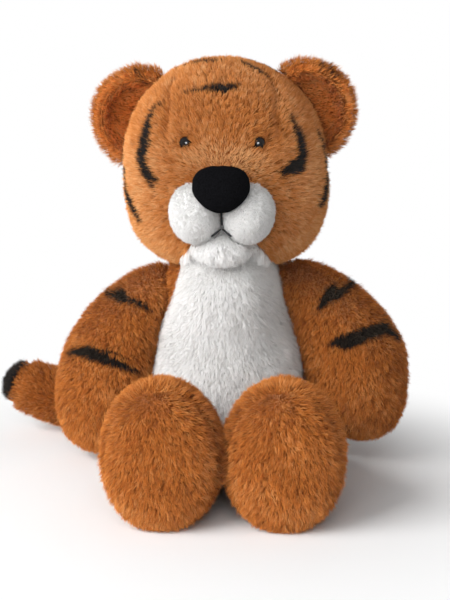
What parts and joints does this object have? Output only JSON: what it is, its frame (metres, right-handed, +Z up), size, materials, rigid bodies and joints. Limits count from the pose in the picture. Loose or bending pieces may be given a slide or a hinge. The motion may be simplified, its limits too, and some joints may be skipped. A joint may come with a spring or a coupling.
{
  "type": "plush tiger",
  "caption": "Seated plush tiger: fur fabric covers over fibre filling, white muzzle and belly, round ears, glossy eyes, hinged limbs, head and tail.",
  "frame": {"origin": "the flat of the seat, in the middle plane of the body", "axes": "+Z up, -Y the way the toy faces, +X the toy's own left side"},
  "size_m": [0.2982, 0.2592, 0.287],
  "materials": {
    "orange_plush": "long pile fur fabric, tan orange with dyed black stripes",
    "white_plush": "short dense white pile",
    "black_plush": "long black pile",
    "nose_velour": "black cut velour over padding",
    "black_thread": "thick black stitching thread",
    "eye_plastic": "moulded glossy near-black",
    "washer_plastic": "moulded translucent white",
    "fibre_filling": "loose white polyester fibre",
    "pellet_cloth": "plain woven bag cloth"
  },
  "bodies": {
    "torso": {"torso_cover": "orange_plush", "belly_panel": "white_plush", "torso_filling": "fibre_filling", "seat_pellet_bag": "pellet_cloth"},
    "head": {"head_cover": "orange_plush", "head_filling": "fibre_filling", "muzzle_left": "white_plush", "muzzle_right": "white_plush", "chin": "white_plush", "nose": "nose_velour", "philtrum_stitch": "black_thread", "mouth_stitch": "black_thread", "eye_left": "eye_plastic", "eye_right": "eye_plastic", "eye_washer_left": "washer_plastic", "eye_washer_right": "washer_plastic", "ear_back_left": "orange_plush", "ear_back_right": "orange_plush", "ear_lining_left": "orange_plush", "ear_lining_right": "orange_plush"},
    "arm_left": {"arm_cover_left": "orange_plush", "arm_filling_left": "fibre_filling"},
    "arm_right": {"arm_cover_right": "orange_plush", "arm_filling_right": "fibre_filling"},
    "leg_left": {"leg_cover_left": "orange_plush", "sole_panel_left": "orange_plush", "leg_filling_left": "fibre_filling"},
    "leg_right": {"leg_cover_right": "orange_plush", "sole_panel_right": "orange_plush", "leg_filling_right": "fibre_filling"},
    "tail": {"tail_cover": "orange_plush", "tail_tip": "black_plush", "tail_filling": "fibre_filling"}
  },
  "joints": [
    {"name": "neck_turn", "type": "hinge", "parent": "torso", "child": "head", "pos_m": [0, 0, 0.144], "axis": [0, 0, 1], "range_deg": [-35, 35]},
    {"name": "shoulder_left", "type": "hinge", "parent": "torso", "child": "arm_left", "pos_m": [0.038, 0, 0.146], "axis": [0, -1, 0], "range_deg": [0, 45]},
    {"name": "shoulder_right", "type": "hinge", "parent": "torso", "child": "arm_right", "pos_m": [-0.038, 0, 0.146], "axis": [0, 1, 0], "range_deg": [0, 45]},
    {"name": "hip_left", "type": "hinge", "parent": "torso", "child": "leg_left", "pos_m": [0.03, -0.051, 0.057], "axis": [-1, 0, 0], "range_deg": [0, 60]},
    {"name": "hip_right", "type": "hinge", "parent": "torso", "child": "leg_right", "pos_m": [-0.03, -0.051, 0.057], "axis": [-1, 0, 0], "range_deg": [0, 60]},
    {"name": "tail_swing", "type": "hinge", "parent": "torso", "child": "tail", "pos_m": [0.023, 0.047, 0], "axis": [0, 0, -1], "range_deg": [0, 90]}
  ]
}
